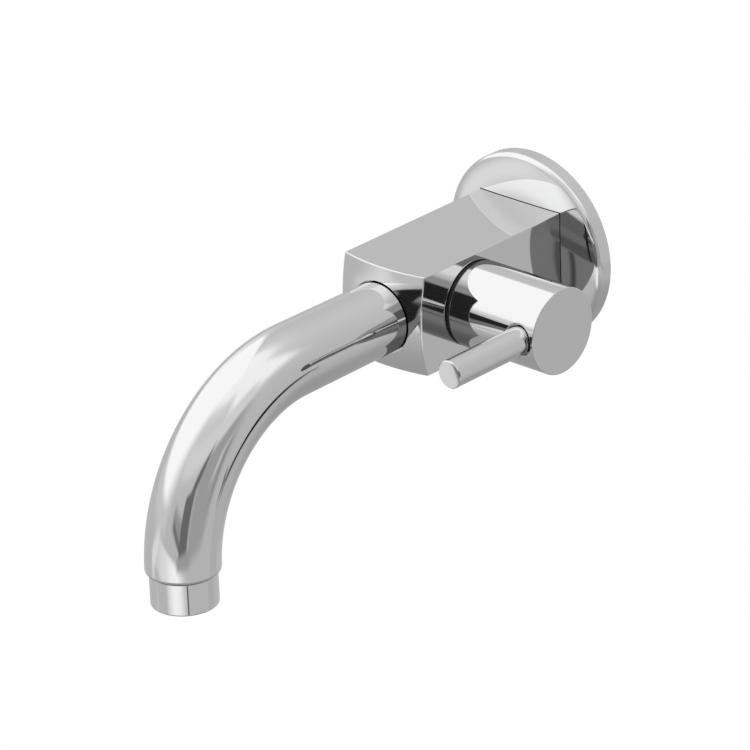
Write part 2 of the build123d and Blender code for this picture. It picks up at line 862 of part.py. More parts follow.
def aerator_shell():
    radius = aerator_diameter / 2
    thread_bore = neck_thread_diameter / 2 + thread_fit
    shell = turned(
        [
            (shell_end_z, aerator_lip_bore_diameter / 2),
            (shell_end_z, radius),
            (shell_top_z, radius),
            (shell_top_z, thread_bore),
            (lip_top_z, thread_bore),
            (lip_top_z, aerator_lip_bore_diameter / 2),
        ]
    )
    shell = fillet(circles_at(shell, "Z", shell_end_z, radius), aerator_foot_round)
    return ALONG_Z * chamfer(circles_at(shell, "Z", shell_top_z, radius), aerator_top_chamfer)


def aerator_washer():
    outer = neck_thread_diameter / 2 - plug_fit
    inner = nozzle_bore_diameter / 2 - insert_top_clearance
    return ALONG_Z * ring(aerator_washer_bottom_z, aerator_washer_top_z, inner, outer)


def insert_top_radius():
    return nozzle_bore_diameter / 2 - 2 * insert_top_clearance


def aerator_insert():
    barrel_radius = aerator_lip_bore_diameter / 2 - insert_fit
    top_radius = insert_top_radius()
    inner_radius = top_radius - insert_wall
    insert = turned(
        [
            (insert_foot_z, inner_radius),
            (insert_foot_z, barrel_radius),
            (insert_flange_bottom_z, barrel_radius),
            (insert_flange_bottom_z, neck_thread_diameter / 2 - plug_fit),
            (insert_flange_top_z, neck_thread_diameter / 2 - plug_fit),
            (insert_flange_top_z, top_radius),
            (insert_top_z, top_radius),
            (insert_top_z, inner_radius),
        ]
    )
    comb = Circle(inner_radius + insert_wall / 2) - comb_cells(inner_radius)
    comb_plate = Pos(0, 0, insert_foot_z) * extrude(comb, amount=comb_thickness)
    return ALONG_Z * (insert + comb_plate)


def comb_cells(inner_radius):
    """The six-sided cells of the aerator's outlet, as many rings of them as fit inside the wall."""
    cell = RegularPolygon((comb_pitch - comb_web) / 2, 6, major_radius=False)
    cells = Sketch()
    for column in range(-comb_rings, comb_rings + 1):
        for row in range(-comb_rings, comb_rings + 1):
            across = comb_pitch * (column + row / 2)
            along = comb_pitch * row * math.sqrt(3) / 2
            if math.hypot(across, along) + comb_pitch / 2 <= inner_radius + comb_web:
                cells += Pos(across, along) * Rot(0, 0, 30) * cell
    return cells


def aerator_screen():
    """A coned mesh disc that keeps grit out of the aerator, resting on its rim."""
    radius = insert_top_radius()
    low = insert_top_z + face_gap
    return ALONG_Z * turned(
        [
            (low, radius - insert_wall),
            (low, radius),
            (low + screen_sheet, radius),
            (low + screen_sheet + screen_cone_rise, 0),
            (low + screen_cone_rise, 0),
        ]
    )


PIECES = {
    "wall_flange": wall_flange,
    "flange_gasket": flange_gasket,
    "flange_ring": flange_ring,
    "inlet_nipple": inlet_nipple,
    "inlet_washer": inlet_washer,
    "inlet_strainer": inlet_strainer,
    "valve_body": valve_body,
    "headwork_body": headwork_body,
    "headwork_ring": headwork_ring,
    "seat_washer": seat_washer,
    "fixed_disc": fixed_disc,
    "moving_disc": moving_disc,
    "spindle": spindle,
    "spindle_rings": spindle_rings,
    "slip_washer": slip_washer,
    "circlip": circlip,
    "glide_ring": glide_ring,
    "handle": handle,
    "lever_pin": lever_pin,
    "handle_grub_screw": handle_grub_screw,
    "spout_tube": spout_tube,
    "spout_spigot": spout_spigot,
    "spout_rings": spout_rings,
    "spout_grub_screw": spout_grub_screw,
    "nozzle_neck": nozzle_neck,
    "aerator_shell": aerator_shell,
    "aerator_washer": aerator_washer,
    "aerator_insert": aerator_insert,
    "aerator_screen": aerator_screen,
}

os.makedirs("parts", exist_ok=True)
for name, make in PIECES.items():
    export_step(make(), f"parts/{name}.step")
print("handle axis y", round(valve_y, 3), "lever x", round(lever_x, 3), "outlet y", round(outlet_y, 3))
print("spout seat y", round(spout_seat_y, 3), "aerator foot z", round(shell_end_z, 3))
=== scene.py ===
# %% [markdown]
# # A chrome wall tap, dressed over its CAD model
#
# The real object is a tap for one water supply. A round flange stands on the wall, a square body carries a
# ceramic valve with a barrel handle and a pin lever, and a bent spout ends in an aerator.
#
# The solids come from CAD and are exact, so this script leaves them where they are. It gives every piece a
# finish, models the few pieces whose fine detail CAD leaves out, and sets up a plain studio round them.
# Everything is in metres. +Y runs into the wall, -Y out over the sink, +Z up, and +X towards the handle.

import json
import math

import bmesh
import bpy
from mathutils import Matrix, Vector


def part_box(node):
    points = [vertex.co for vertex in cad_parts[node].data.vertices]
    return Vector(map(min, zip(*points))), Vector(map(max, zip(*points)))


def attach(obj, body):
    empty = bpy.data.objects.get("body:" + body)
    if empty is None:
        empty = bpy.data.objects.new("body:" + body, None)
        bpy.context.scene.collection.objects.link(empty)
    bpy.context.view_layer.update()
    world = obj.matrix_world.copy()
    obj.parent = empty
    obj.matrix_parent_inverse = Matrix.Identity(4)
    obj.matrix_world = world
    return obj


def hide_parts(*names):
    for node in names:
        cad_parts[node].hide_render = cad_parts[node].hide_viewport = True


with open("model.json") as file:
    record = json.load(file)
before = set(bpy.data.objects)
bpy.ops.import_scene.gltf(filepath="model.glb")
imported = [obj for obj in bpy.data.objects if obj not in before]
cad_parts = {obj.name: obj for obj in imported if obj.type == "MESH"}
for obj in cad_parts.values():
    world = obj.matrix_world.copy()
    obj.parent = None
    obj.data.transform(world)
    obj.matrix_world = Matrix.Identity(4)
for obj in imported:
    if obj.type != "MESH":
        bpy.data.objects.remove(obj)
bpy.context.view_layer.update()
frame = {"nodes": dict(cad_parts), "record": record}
nodes = frame["nodes"]
millimetre = 0.001
print("CAD nodes:", len(nodes))

# %% [markdown]
# ## Writing node trees as Python
#
# A finish is a tree of shader nodes. It could be drawn in the node editor, but in a script each node and
# link would take several lines. Two small classes shorten that. `Socket` wraps an output, so that
# `1 - mask * 2` adds the Math nodes by itself. `Tree` has one method that makes any node: it sets the node's
# own settings first, because they decide which sockets exist, and then its sockets.

# %% Sockets that understand arithmetic


class Socket:
    """One output of a node. Arithmetic on it adds Math nodes to its tree."""

    def __init__(self, tree, output):
        self.tree = tree
        self.output = output

    def maths(self, operation, first, second):
        return self.tree.node("ShaderNodeMath", {"operation": operation}, {0: first, 1: second})

    def __add__(self, other):
        return self.maths("ADD", self, other)

    def __sub__(self, other):
        return self.maths("SUBTRACT", self, other)

    def __mul__(self, other):
        return self.maths("MULTIPLY", self, other)

    def __truediv__(self, other):
        return self.maths("DIVIDE", self, other)

    def __radd__(self, other):
        return self.maths("ADD", other, self)

    def __rsub__(self, other):
        return self.maths("SUBTRACT", other, self)

    def __rmul__(self, other):
        return self.maths("MULTIPLY", other, self)

    def largest(self, other):
        return self.maths("MAXIMUM", self, other)


# %% A tree whose nodes come from one method


class Tree:
    """The node tree of a material or a world, emptied and ready to be written."""

    def __init__(self, owner):
        owner.use_nodes = True
        self.nodes = owner.node_tree.nodes
        self.links = owner.node_tree.links
        self.nodes.clear()

    def node(self, kind, settings=None, sockets=None, output=0):
        """Adds a node, sets it up, fills or links its sockets, and returns one of its outputs."""
        made = self.nodes.new(kind)
        for name, value in (settings or {}).items():
            if name == "stops":
                self.set_stops(made.color_ramp, value)
            else:
                setattr(made, name, value)
        for key, value in (sockets or {}).items():
            if isinstance(value, Socket):
                self.links.new(value.output, made.inputs[key])
            else:
                made.inputs[key].default_value = value
        return Socket(self, made.outputs[output]) if made.outputs else None

    def set_stops(self, ramp, stops):
        """Gives a colour ramp its (position, grey) stops."""
        while len(ramp.elements) < len(stops):
            ramp.elements.new(1)
        for element, (position, grey) in zip(ramp.elements, stops):
            element.position = position
            element.color = (grey, grey, grey, 1)


# %% [markdown]
# ## Patterns that every finish uses
#
# A pattern needs coordinates that stay with the metal when the handle turns, so each one reads the object's
# own coordinates, in metres. A noise of scale 100 then has blotches about 10 mm across. A ramp turns the
# noise into a share from low to high, and a bump turns it into relief. The Mix node has sockets of the same
# name for numbers, vectors and colours, so its colour sockets are picked by their place in the list.

# %% Noise, ramps, mixes and bumps
mix_share, mix_first_colour, mix_second_colour, mixed_colour = 0, 6, 7, 2


def object_place(tree):
    return tree.node("ShaderNodeTexCoord", output="Object")


def noise(tree, place, feature_size, detail=2.0):
    """Cloudy noise from 0 to 1, whose blotches are about feature_size metres across."""
    sockets = {"Vector": place, "Scale": 1 / feature_size, "Detail": detail}
    return tree.node("ShaderNodeTexNoise", None, sockets, output="Fac")


def ramp(tree, factor, *stops):
    """A grey that follows the factor through (position, grey) stops."""
    return tree.node("ShaderNodeValToRGB", {"stops": stops}, {"Fac": factor}, output="Color")


def stretched(tree, place, scale):
    """The coordinates squeezed or stretched along each axis, for streaks."""
    settings = {"operation": "MULTIPLY"}
    return tree.node("ShaderNodeVectorMath", settings, {0: place, 1: scale}, output="Vector")


def mix_colours(tree, factor, first, second):
    """Goes from the first colour to the second as factor goes from 0 to 1."""
    sockets = {mix_share: factor, mix_first_colour: first, mix_second_colour: second}
    return tree.node("ShaderNodeMix", {"data_type": "RGBA"}, sockets, output=mixed_colour)


def bump(tree, height, depth, strength):
    """Relief of depth metres for a height from 0 to 1, weakened by a strength below 1."""
    sockets = {"Height": height, "Distance": depth, "Strength": strength}
    return tree.node("ShaderNodeBump", None, sockets, output="Normal")


# %% [markdown]
# ## From a tree to a material
#
# All finishes end in a Principled shader. What is the same all over a surface, such as how metallic it is,
# is set on the shader itself, and only what varies is linked.

# %% Start and end a finish


def new_finish(name):
    """A material, its empty tree, and the coordinates that its patterns start from."""
    material = bpy.data.materials.new(name)
    tree = Tree(material)
    return material, tree, object_place(tree)


def finish_with(tree, sockets):
    """Ends a tree in a Principled shader with these constants and links."""
    surface = tree.node("ShaderNodeBsdfPrincipled", None, sockets, output="BSDF")
    tree.node("ShaderNodeOutputMaterial", None, {"Surface": surface})


def grey(value):
    return (value, value, value, 1)


# %% [markdown]
# ## Chrome
#
# The visible pieces are brass, polished and plated with nickel and chromium. Plate is a mirror with a faintly
# cool colour. It is never quite even: polishing leaves long, shallow waves, and handling leaves a haze that
# only shows as a softer reflection. The waves go into the bump and the haze into the roughness, and both stay
# slight, because the tap is new and clean.

# %% Polished chrome
plate_colour = (0.785, 0.787, 0.79, 1)
hazy_plate_colour = (0.815, 0.816, 0.82, 1)


def chrome_sockets(tree, place):
    haze = noise(tree, place, 14 * millimetre, detail=4)
    grain = noise(tree, place, 0.35 * millimetre, detail=3)
    waves = noise(tree, place, 22 * millimetre, detail=1)
    return {
        "Base Color": mix_colours(tree, haze, plate_colour, hazy_plate_colour),
        "Metallic": 1.0,
        "Roughness": 0.025 + haze * 0.03 + grain * 0.012,
        "Normal": bump(tree, waves, 0.03 * millimetre, 0.12),
    }


def polished_chrome():
    material, tree, place = new_finish("polished_chrome")
    finish_with(tree, chrome_sockets(tree, place))
    return material


chrome = polished_chrome()
print("made", chrome.name)

# %% [markdown]
# ## A seam in the chrome
#
# The body stands on the flange without being part of it, and the hair-thin gap between them shows as a dark
# line. A real gap could be cut, but it would be far thinner than a pixel. So its shadow is painted on the
# flange, as a square outline a fifth of a millimetre wider than the body.

# %% Chrome with a seam
body_half_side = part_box("valve_body")[1].z
seam_width = 0.18 * millimetre
seam_fade = 0.1 * millimetre
seam_grey = 0.04


def seamed_chrome(half_side):
    """Polished chrome with a dark square round the Y axis, which the body all but covers."""
    material, tree, place = new_finish("seamed_chrome")
    sockets = chrome_sockets(tree, place)
    sizes = tree.node("ShaderNodeVectorMath", {"operation": "ABSOLUTE"}, {0: place}, output="Vector")
    across = tree.node("ShaderNodeSeparateXYZ", None, {0: sizes}, output="X")
    up = tree.node("ShaderNodeSeparateXYZ", None, {0: sizes}, output="Z")
    beyond = (across.largest(up) - (half_side + seam_width)) / seam_fade
    seam = ramp(tree, beyond, (0.0, 1.0), (1.0, 0.0))
    sockets["Base Color"] = mix_colours(tree, seam, sockets["Base Color"], grey(seam_grey))
    finish_with(tree, sockets)
    return material


rose_chrome = seamed_chrome(body_half_side)
print("made", rose_chrome.name)

# %% [markdown]
# ## Bare brass
#
# The pieces inside are turned from brass bar and left bare. The lathe leaves the metal finely marked, and it
# tarnishes in soft brown clouds. The marks are fine noise in the bump and the roughness, and the clouds are
# coarse noise in both colour and roughness.

# %% Turned brass
clean_brass_colour = (0.78, 0.58, 0.27, 1)
tarnished_brass_colour = (0.60, 0.41, 0.18, 1)


def turned_brass():
    material, tree, place = new_finish("turned_brass")
    clouds = noise(tree, place, 9 * millimetre, detail=5)
    marks = noise(tree, place, 0.25 * millimetre, detail=2)
    tarnish = ramp(tree, clouds, (0.35, 0.0), (0.75, 1.0))
    colour = mix_colours(tree, tarnish, clean_brass_colour, tarnished_brass_colour)
    finish_with(
        tree,
        {
            "Base Color": colour,
            "Metallic": 1.0,
            "Roughness": 0.2 + tarnish * 0.18 + marks * 0.08,
            "Normal": bump(tree, marks, 0.02 * millimetre, 0.35),
        },
    )
    return material


brass = turned_brass()
print("made", brass.name)

# %% [markdown]
# ## Rubber, foam and fibre
#
# The O-rings and washers are moulded black rubber, with a bloom that dulls them in patches. The gasket behind
# the flange is foam, whose cut cells make a fine pitted surface, so it uses Voronoi cells for its relief, and
# the same cells paint the pits darker than the walls, as painted shade in the hollows. The inlet washer is
# pressed fibre, brick red, with streaks of fibre in it.

# %% Soft sealing finishes
rubber_colour = (0.018, 0.018, 0.018, 1)
bloomed_rubber_colour = (0.045, 0.044, 0.042, 1)
# The pit colour is painted shade: the foam is one black, darker only where its pits lie in shadow.
foam_pit_shade_colour = (0.03, 0.03, 0.032, 1)
foam_wall_colour = (0.11, 0.11, 0.115, 1)
dark_fibre_colour = (0.36, 0.08, 0.05, 1)
light_fibre_colour = (0.55, 0.17, 0.11, 1)


def moulded_rubber():
    material, tree, place = new_finish("moulded_rubber")
    bloom = noise(tree, place, 4 * millimetre, detail=5)
    skin = noise(tree, place, 0.2 * millimetre)
    colour = mix_colours(tree, bloom, rubber_colour, bloomed_rubber_colour)
    finish_with(
        tree,
        {
            "Base Color": colour,
            "Roughness": 0.45 + bloom * 0.25,
            "Normal": bump(tree, skin, 0.03 * millimetre, 0.5),
        },
    )
    return material


def foam_sheet():
    material, tree, place = new_finish("foam_sheet")
    sockets = {"Vector": place, "Scale": 1 / (0.7 * millimetre)}
    cells = tree.node("ShaderNodeTexVoronoi", {"feature": "F1"}, sockets, output="Distance")
    patches = noise(tree, place, 6 * millimetre, detail=3)
    # The cells' low pits get the darker colour, painted shade in the hollows that the bump below sinks.
    colour = mix_colours(tree, cells, foam_pit_shade_colour, foam_wall_colour)
    finish_with(
        tree,
        {
            "Base Color": colour,
            "Roughness": 0.82 + patches * 0.14,
            "Normal": bump(tree, cells, 0.2 * millimetre, 0.7),
        },
    )
    return material


def pressed_fibre():
    material, tree, place = new_finish("pressed_fibre")
    streaks = noise(tree, stretched(tree, place, (1.0, 6.0, 1.0)), 0.8 * millimetre, detail=6)
    colour = mix_colours(tree, streaks, dark_fibre_colour, light_fibre_colour)
    finish_with(
        tree,
        {
            "Base Color": colour,
            "Roughness": 0.7 + streaks * 0.2,
            "Normal": bump(tree, streaks, 0.06 * millimetre, 0.6),
        },
    )
    return material


rubber, foam, fibre = moulded_rubber(), foam_sheet(), pressed_fibre()
print("made", rubber.name, foam.name, fibre.name)

# %% [markdown]
# ## Ceramic, steel and plastic
#
# The valve's two discs are lapped ceramic: cream white, glossy, with the faintest specks. The clip, the grub
# screws and the two screens are bright stainless steel with a drawn grain, which is noise stretched into
# streaks. The glide ring between body and handle is satin black plastic, and the aerator's insert and the
# valve's slip washer are satin white.

# %% Hard inner finishes
ceramic_colour = (0.90, 0.89, 0.86, 1)
ceramic_speck_colour = (0.78, 0.76, 0.72, 1)
dark_steel_colour = (0.50, 0.50, 0.51, 1)
light_steel_colour = (0.62, 0.62, 0.63, 1)


def lapped_ceramic():
    material, tree, place = new_finish("lapped_ceramic")
    specks = noise(tree, place, 0.5 * millimetre, detail=6)
    speck_mask = ramp(tree, specks, (0.62, 0.0), (0.72, 1.0))
    finish_with(
        tree,
        {
            "Base Color": mix_colours(tree, speck_mask, ceramic_colour, ceramic_speck_colour),
            "Roughness": 0.12 + specks * 0.1,
            "Normal": bump(tree, specks, 0.01 * millimetre, 0.3),
        },
    )
    return material


def drawn_steel():
    material, tree, place = new_finish("drawn_steel")
    grain = noise(tree, stretched(tree, place, (1.0, 1.0, 12.0)), 0.3 * millimetre, detail=4)
    clouds = noise(tree, place, 5 * millimetre, detail=3)
    finish_with(
        tree,
        {
            "Base Color": mix_colours(tree, clouds, dark_steel_colour, light_steel_colour),
            "Metallic": 1.0,
            "Roughness": 0.24 + grain * 0.18,
            "Normal": bump(tree, grain, 0.02 * millimetre, 0.4),
        },
    )
    return material


def satin_plastic(name, dark, light, roughness):
    material, tree, place = new_finish(name)
    sparks = noise(tree, place, 0.18 * millimetre)
    clouds = noise(tree, place, 7 * millimetre, detail=3)
    finish_with(
        tree,
        {
            "Base Color": mix_colours(tree, clouds, grey(dark), grey(light)),
            "Roughness": roughness + sparks * 0.15,
            "Normal": bump(tree, sparks, 0.03 * millimetre, 0.4),
        },
    )
    return material


ceramic, steel = lapped_ceramic(), drawn_steel()
black_plastic = satin_plastic("satin_black_plastic", 0.012, 0.028, 0.35)
white_plastic = satin_plastic("satin_white_plastic", 0.80, 0.88, 0.3)
print("made", ceramic.name, steel.name, black_plastic.name, white_plastic.name)

# %% [markdown]
# ## Dress the CAD pieces
#
# A CAD node already has one material slot with a plain colour. Its shape is right, so it stays, and only
# what is in the slot changes. The record names a slot for each node, and each slot has one finish.

# %% Give each node its finish
finish_of_slot = {
    "chrome": chrome,
    "brass": brass,
    "seal_rubber": rubber,
    "gasket_foam": foam,
    "washer_fibre": fibre,
    "ceramic": ceramic,
    "steel": steel,
    "black_plastic": black_plastic,
    "white_plastic": white_plastic,
}
slot_of_node = {row["node"]: row["material_slot"] for row in frame["record"]["subparts"]}
for name, node in nodes.items():
    for material_slot in node.material_slots:
        material_slot.material = finish_of_slot[slot_of_node[name]]
print("dressed", len(nodes), "nodes")

# %% [markdown]
# ## From a bmesh to a piece
#
# Two pieces get more shape than CAD gives them. Both are turned on a lathe, so both are spun round the Y
# axis. The same steps then end each piece: doubles merged, normals turned outwards, smooth shading with
# sharp corners kept, and a modifier that weighs normals by face size, so that flat faces stay flat beside a
# rounding. A mirror finish shows any fault in the normals at once.

# %% Spin a section and finish a piece
turned_steps = 240
sharp_angle = math.radians(32)
merge_distance = 0.001 * millimetre


def radius_of(vertex):
    """How far a vertex is from the Y axis."""
    return math.hypot(vertex.co.x, vertex.co.z)


def spun_section(shape, corners):
    """Spins a closed outline of (radius, y) corners once round the Y axis."""
    outline = [shape.verts.new((radius, y, 0)) for radius, y in corners]
    edges = [shape.edges.new((outline[index - 1], outline[index])) for index in range(len(outline))]
    bmesh.ops.spin(
        shape,
        geom=outline + edges,
        cent=(0, 0, 0),
        axis=(0, 1, 0),
        angle=math.tau,
        steps=turned_steps,
        use_merge=True,
    )


def finished_piece(name, shape, finish, body, replaced_node):
    """Turns a bmesh into a piece that rides on a body and stands in for a CAD node."""
    bmesh.ops.remove_doubles(shape, verts=shape.verts, dist=merge_distance)
    bmesh.ops.recalc_face_normals(shape, faces=shape.faces)
    for face in shape.faces:
        face.smooth = True
    mesh = bpy.data.meshes.new(name)
    shape.to_mesh(mesh)
    shape.free()
    mesh.set_sharp_from_angle(angle=sharp_angle)
    mesh.materials.append(finish)
    piece = bpy.data.objects.new(name, mesh)
    bpy.context.scene.collection.objects.link(piece)
    weights = piece.modifiers.new("weighted normals", "WEIGHTED_NORMAL")
    weights.keep_sharp = True
    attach(piece, body)
    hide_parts(replaced_node)
    print(name, "faces:", len(mesh.polygons))
    return piece


# %% [markdown]
# ## The domed flange
#
# The flange covers the hole in the tiles. It is turned to a very shallow dome, nearly flat round the body and
# falling away towards a rounded rim. The dome is less than 2 mm high, but on chrome its slope bends every
# reflection, so it is modelled and not left to a bump. A flat cup is spun first, its rim is bevelled, and its
# face is cut into rings. Then each point in front moves out, most in the middle and not at all at the rim.
# How far it falls short of the middle grows with the fifth power of its radius, so the slope grows with the
# fourth.

# %% Measures of the flange
flange_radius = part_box("wall_flange")[1].x
gasket_low, gasket_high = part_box("flange_gasket")
tail_low, tail_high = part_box("inlet_nipple")
flange_edge_y = -6.6 * millimetre
flange_edge_round = 1.6 * millimetre
flange_edge_steps = 10
flange_back_edge = 0.4 * millimetre
tail_clearance = 0.5 * millimetre
flange_hole_radius = tail_high.x + tail_clearance
flange_boss_radius = 15 * millimetre
gasket_room = 0.3 * millimetre
dome_height = 1.8 * millimetre
dome_power = 5
dome_rings = 26
print("flange radius in mm:", round(flange_radius / millimetre, 2))

# %% The flange


def edges_where(shape, wanted):
    """The edges with both ends where the test says so."""
    return [edge for edge in shape.edges if all(wanted(vertex) for vertex in edge.verts)]


def on_circle(radius, y):
    """A test for the vertices of one circle round the Y axis."""

    def wanted(vertex):
        off = math.hypot(radius_of(vertex) - radius, vertex.co.y - y)
        return off < merge_distance

    return wanted


def at_height(y):
    """A test for the vertices of one plane across the Y axis."""
    return lambda vertex: abs(vertex.co.y - y) < merge_distance


def domed_flange():
    shape = bmesh.new()
    cup_radius = gasket_high.x + gasket_room
    face_width = flange_radius - flange_edge_round - flange_hole_radius
    section = [
        (flange_hole_radius, flange_edge_y),
        (flange_radius, flange_edge_y),
        (flange_radius, -flange_back_edge),
        (flange_radius - flange_back_edge, 0),
        (cup_radius, 0),
        (cup_radius, gasket_low.y),
        (flange_boss_radius, gasket_low.y),
        (flange_boss_radius, gasket_high.y),
        (flange_hole_radius, gasket_high.y),
    ]
    spun_section(shape, section)
    bmesh.ops.bevel(
        shape,
        geom=edges_where(shape, on_circle(flange_radius, flange_edge_y)),
        offset=flange_edge_round,
        segments=flange_edge_steps,
        profile=0.5,
        affect="EDGES",
        material=-1,
    )
    face_edges = edges_where(shape, at_height(flange_edge_y))
    spokes = [edge for edge in face_edges if edge.calc_length() > face_width / 2]
    bmesh.ops.subdivide_edges(shape, edges=spokes, cuts=dome_rings, use_grid_fill=True)
    for vertex in shape.verts:
        if vertex.co.y < flange_edge_y + flange_edge_round + merge_distance:
            share = radius_of(vertex) / flange_radius
            vertex.co.y -= dome_height * (1 - share**dome_power)
    return finished_piece("flange_dome", shape, rose_chrome, "tap", "wall_flange")


domed_flange()

# %% [markdown]
# ## The threaded tail
#
# The tap hangs by a threaded tail that screws into the wall, with a hexagon in its bore for the key that
# turns it. In CAD its thread is a plain cylinder at the crests. A bump could draw the thread, but its outline
# shows from behind, so it is modelled. A strip with the thread's profile is spun once round the axis while it
# moves along by one pitch, so its two ends meet a turn apart and merge into a helix. Two flat cuts trim the
# helix, and the rest of the tail grows from its end: rim after rim is extruded down the bore and back up
# outside.

# %% Measures of the tail
inch = 25.4 * millimetre
thread_crest = tail_high.x
thread_pitch = inch / 14
thread_depth = 1.05 * millimetre
thread_flat_share = 0.16
thread_flank_share = 0.34
thread_start_y = 0.2 * millimetre
thread_steps = 96
spare_turns_before = 2
spare_turns_after = 1
cut_tolerance = merge_distance / 10
tail_chamfer = 0.8 * millimetre
tail_relief_radius = 9.4 * millimetre
tail_relief_y = -8 * millimetre
tail_bore_radius = 5.9 * millimetre
key_across_flats = 12 * millimetre
key_depth = 10 * millimetre
print("thread turns:", round((tail_high.y - thread_start_y) / thread_pitch, 1))

# %% A helical tube


def helical_tube(shape):
    """A tube with the thread's profile, longer than the tail at both ends."""
    turns = math.ceil((tail_high.y - thread_start_y) / thread_pitch)
    thread_root = thread_crest - thread_depth
    root_share = thread_flat_share + thread_flank_share
    across_pitch = [(0.0, thread_crest), (thread_flat_share, thread_crest)]
    across_pitch += [(root_share, thread_root), (root_share + thread_flat_share, thread_root)]
    strip = []
    for turn in range(-spare_turns_before, turns + spare_turns_after):
        for share, radius in across_pitch:
            y = thread_start_y + (turn + share) * thread_pitch
            strip.append(shape.verts.new((radius, y, 0)))
    edges = [shape.edges.new(pair) for pair in zip(strip, strip[1:])]
    bmesh.ops.spin(
        shape,
        geom=strip + edges,
        cent=(0, 0, 0),
        axis=(0, 1, 0),
        angle=math.tau,
        steps=thread_steps,
        dvec=(0, thread_pitch / thread_steps, 0),
    )
    bmesh.ops.remove_doubles(shape, verts=shape.verts, dist=merge_distance)


def cut_off(shape, y, direction):
    """Cuts straight across at y and throws away what lies in that direction."""
    everything = shape.verts[:] + shape.edges[:] + shape.faces[:]
    plane = {"plane_co": (0, y, 0), "plane_no": (0, direction, 0), "dist": cut_tolerance}
    bmesh.ops.bisect_plane(shape, geom=everything, clear_outer=True, **plane)


# %% Rims that grow into the rest of the tail


def rim_at(shape, y):
    """The open edges in the plane at y."""
    return [edge for edge in edges_where(shape, at_height(y)) if edge.is_boundary]


def grown_rim(shape, rim, radius_at, y):
    """Extrudes a rim and moves the new one to a radius, which may depend on the angle, and to y."""
    made = bmesh.ops.extrude_edge_only(shape, edges=rim)["geom"]
    for vertex in [item for item in made if isinstance(item, bmesh.types.BMVert)]:
        angle = math.atan2(vertex.co.z, vertex.co.x)
        radius = radius_at(angle)
        vertex.co = (radius * math.cos(angle), y, radius * math.sin(angle))
    return [item for item in made if isinstance(item, bmesh.types.BMEdge) and item.is_boundary]


def hexagon_radius(angle):
    """How far the key's hexagon is from the axis in this direction."""
    sector = math.tau / 6
    return key_across_flats / 2 / math.cos(angle % sector - sector / 2)


def plain_radius(radius):
    """The same for a circle, in every direction."""
    return lambda angle: radius


# %% The tail


def threaded_tail():
    shape = bmesh.new()
    helical_tube(shape)
    cut_off(shape, thread_start_y, -1)
    cut_off(shape, tail_high.y, 1)
    for vertex in shape.verts:
        limit = thread_crest - max(0, vertex.co.y - tail_high.y + tail_chamfer)
        if radius_of(vertex) > limit:
            vertex.co.xz *= limit / radius_of(vertex)
    key_floor_y = tail_high.y - key_depth
    relief_step = thread_crest - tail_relief_radius
    stations = [
        (hexagon_radius, tail_high.y),
        (hexagon_radius, key_floor_y),
        (plain_radius(tail_bore_radius), key_floor_y),
        (plain_radius(tail_bore_radius), tail_low.y),
        (plain_radius(thread_crest - tail_chamfer), tail_low.y),
        (plain_radius(thread_crest), tail_low.y + tail_chamfer),
        (plain_radius(thread_crest), tail_relief_y - relief_step),
        (plain_radius(tail_relief_radius), tail_relief_y),
        (plain_radius(tail_relief_radius), -relief_step),
    ]
    start_rim = rim_at(shape, thread_start_y)
    rim = rim_at(shape, tail_high.y)
    for radius_at, y in stations:
        rim = grown_rim(shape, rim, radius_at, y)
    bmesh.ops.bridge_loops(shape, edges=rim + start_rim)
    return finished_piece("threaded_tail", shape, brass, "tap", "inlet_nipple")


threaded_tail()

# %% [markdown]
# ## The studio
#
# The photograph has a white ground, and a tap hangs at working height. So the pale floor lies far below it,
# and its shadow falls out of the picture. To the camera the floor is plain white. Mirrors don't see it,
# because the room that they show has greys of its own below. From underneath the floor is clear, so that the
# tap can be looked at from there too.

# %% Floor
floor_drop = 1.05
floor_size = 12.0
floor_mottle_size = 0.4


def pale_floor():
    shape = bmesh.new()
    bmesh.ops.create_grid(shape, x_segments=1, y_segments=1, size=floor_size / 2)
    bmesh.ops.translate(shape, verts=shape.verts, vec=(0, 0, -floor_drop))
    mesh = bpy.data.meshes.new("floor")
    shape.to_mesh(mesh)
    shape.free()
    floor = bpy.data.objects.new("floor", mesh)
    bpy.context.scene.collection.objects.link(floor)
    material = bpy.data.materials.new("pale_floor")
    tree = Tree(material)
    place = object_place(tree)
    mottle = noise(tree, place, floor_mottle_size, detail=3)
    painted = tree.node(
        "ShaderNodeBsdfDiffuse",
        None,
        {"Color": mix_colours(tree, mottle, grey(0.86), grey(0.90)), "Roughness": 0.5},
        output="BSDF",
    )
    white = tree.node("ShaderNodeEmission", None, {"Color": grey(1.0), "Strength": 1.0}, output="Emission")
    camera_ray = tree.node("ShaderNodeLightPath", output="Is Camera Ray")
    from_above = tree.node("ShaderNodeMixShader", None, {0: camera_ray, 1: painted, 2: white}, output=0)
    underside = tree.node("ShaderNodeNewGeometry", output="Backfacing")
    clear = tree.node("ShaderNodeBsdfTransparent", output="BSDF")
    surface = tree.node("ShaderNodeMixShader", None, {0: underside, 1: from_above, 2: clear}, output=0)
    tree.node("ShaderNodeOutputMaterial", None, {"Surface": surface})
    mesh.materials.append(material)
    floor.visible_glossy = False


pale_floor()
print("floor", floor_drop, "m below the tap")

# %% [markdown]
# ## Light that only mirrors see
#
# Chrome has no look of its own. It shows the room, so the room has to be right: soft boxes on the left and
# overhead, a grey wall on the right, the glow of a pale table below, and the dark gap that the camera looks
# through. Lamps and cards of that size could stand round the tap, but they would show in other views and
# cost render time. So the room is written into the world by direction, and only mirrors see it.
#
# Each thing is a box in azimuth and elevation, as seen from the tap. Azimuth 0 looks along -Y and 90 along
# +X. A box's mask falls from 1 inside to 0 outside over a soft edge, and the light moves towards the box's
# level by that mask, so a later box covers an earlier one.

# %% Azimuth and elevation of a ray


